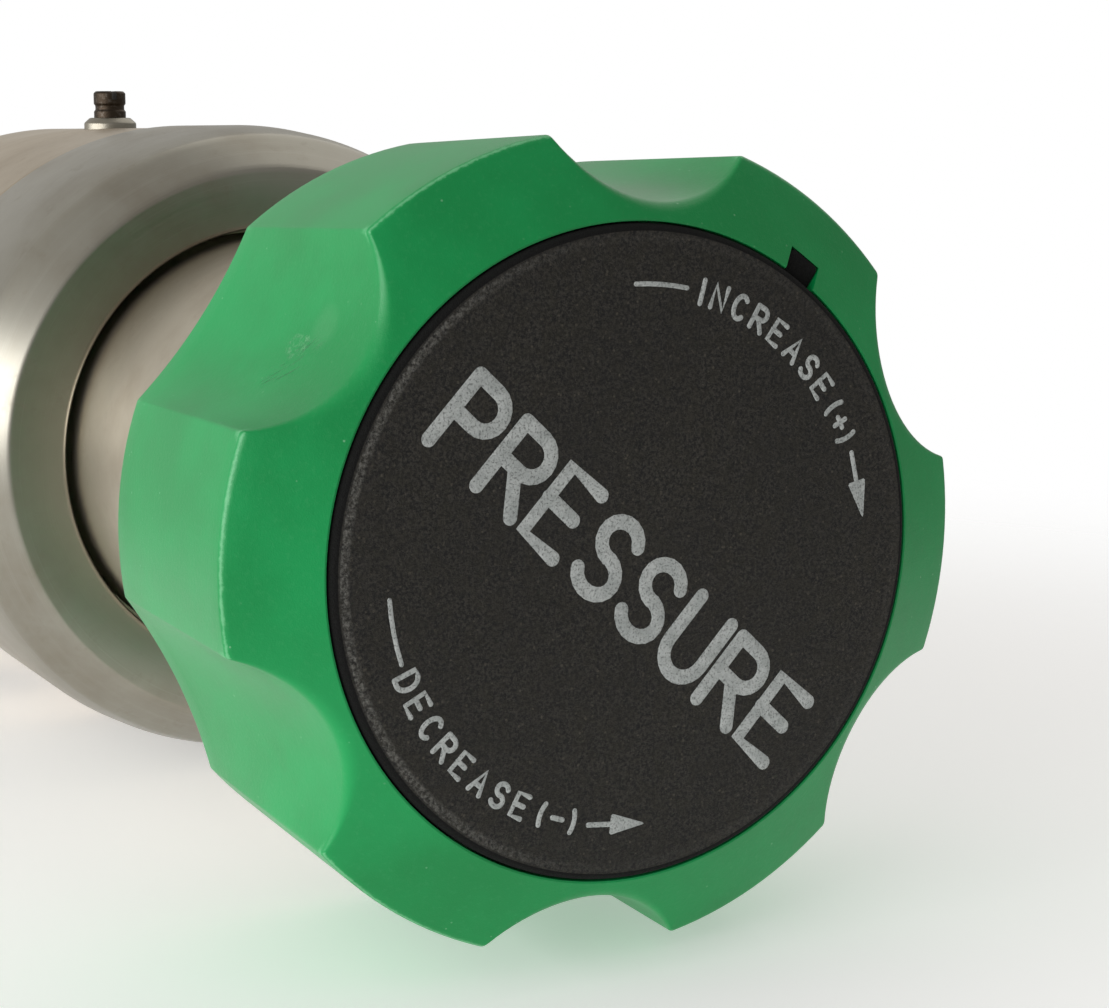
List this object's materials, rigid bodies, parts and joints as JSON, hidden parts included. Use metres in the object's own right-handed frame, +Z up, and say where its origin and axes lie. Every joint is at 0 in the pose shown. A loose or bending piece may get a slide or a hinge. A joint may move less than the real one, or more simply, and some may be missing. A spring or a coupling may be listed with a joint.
{
  "type": "pressure regulating valve",
  "caption": "Panel-mount pressure regulating valve with a lobed hand knob, long neck, cap ring and round ported steel body.",
  "frame": {"origin": "centre of the rear mounting face, on the main axis", "axes": "+Y out of the rear face along the main axis, so the knob faces -Y; +Z up, through the bleed screw; +X to the outlet port"},
  "size_m": [0.0524, 0.1177, 0.0557],
  "materials": {
    "body_steel": "turned and polished stainless steel",
    "ring_steel": "turned and polished stainless steel",
    "neck_steel": "polished stainless steel",
    "green_plastic": "satin moulded nylon",
    "black_plastic": "fine-textured moulded plastic with a printed grey legend",
    "brass": "machined",
    "spring_steel": "drawn wire",
    "machined_steel": "machined stainless steel",
    "thin_steel": "cold-rolled thin sheet",
    "ball_steel": "ground and polished",
    "dark_steel": "dark oxide finish",
    "white_ptfe": "PTFE",
    "tan_peek": "PEEK",
    "seal_rubber": "fluorocarbon rubber",
    "sintered_steel": "sintered porous metal"
  },
  "bodies": {
    "housing": {"valve_body": "body_steel", "cap_ring": "ring_steel", "body_cap": "neck_steel", "diaphragm_seal": "white_ptfe", "diaphragm": "thin_steel", "range_spring": "spring_steel", "stem_nut": "brass", "seat_retainer": "machined_steel", "valve_seat": "tan_peek", "seat_seal": "seal_rubber", "poppet_damper": "white_ptfe", "poppet_spring": "spring_steel", "inlet_filter": "sintered_steel", "filter_retaining_ring": "spring_steel", "gauge_port_plugs": "machined_steel", "bleed_bush": "machined_steel"},
    "spring_carrier": {"upper_spring_button": "machined_steel", "thrust_ball": "ball_steel"},
    "hand_knob": {"stem": "machined_steel", "stem_retaining_clip": "spring_steel", "knob": "green_plastic", "knob_insert": "brass", "knob_washer": "machined_steel", "knob_screw": "dark_steel", "knob_cover": "black_plastic"},
    "diaphragm_plates": {"stop_plate": "machined_steel", "diaphragm_plate": "machined_steel"},
    "poppet": {"poppet": "machined_steel"},
    "bleed_seal": {"bleed_ball": "ball_steel"},
    "bleed_screw": {"bleed_screw": "dark_steel"}
  },
  "joints": [
    {"name": "stem_feed", "type": "slide", "parent": "housing", "child": "spring_carrier", "axis": [0, 1, 0], "range_m": [-0.00125, 0.00625], "deforming": ["range_spring"]},
    {"name": "knob_turn", "type": "hinge", "parent": "spring_carrier", "child": "hand_knob", "pos_m": [0, -0.1, 0], "axis": [0, 1, 0], "range_deg": [-360, 1800]},
    {"name": "diaphragm_stroke", "type": "slide", "parent": "housing", "child": "diaphragm_plates", "axis": [0, 1, 0], "range_m": [0, 0.0008], "stiffness_N_per_m": 400, "deforming": ["diaphragm"]},
    {"name": "poppet_lift", "type": "slide", "parent": "housing", "child": "poppet", "axis": [0, 1, 0], "range_m": [0, 0.0008], "deforming": ["poppet_spring"]},
    {"name": "bleed_lift", "type": "slide", "parent": "housing", "child": "bleed_seal", "axis": [0, 0, 1], "range_m": [0, 0.001]},
    {"name": "bleed_turn", "type": "hinge", "parent": "bleed_seal", "child": "bleed_screw", "pos_m": [0, -0.0184, 0.027], "axis": [0, 0, 1], "range_deg": [0, 720]}
  ],
  "couplings": [
    {"joint": "knob_turn", "follows": "stem_feed", "rad_per_m": 5026.5},
    {"joint": "poppet_lift", "follows": "diaphragm_stroke", "ratio": 1},
    {"joint": "bleed_turn", "follows": "bleed_lift", "rad_per_m": 12566}
  ]
}
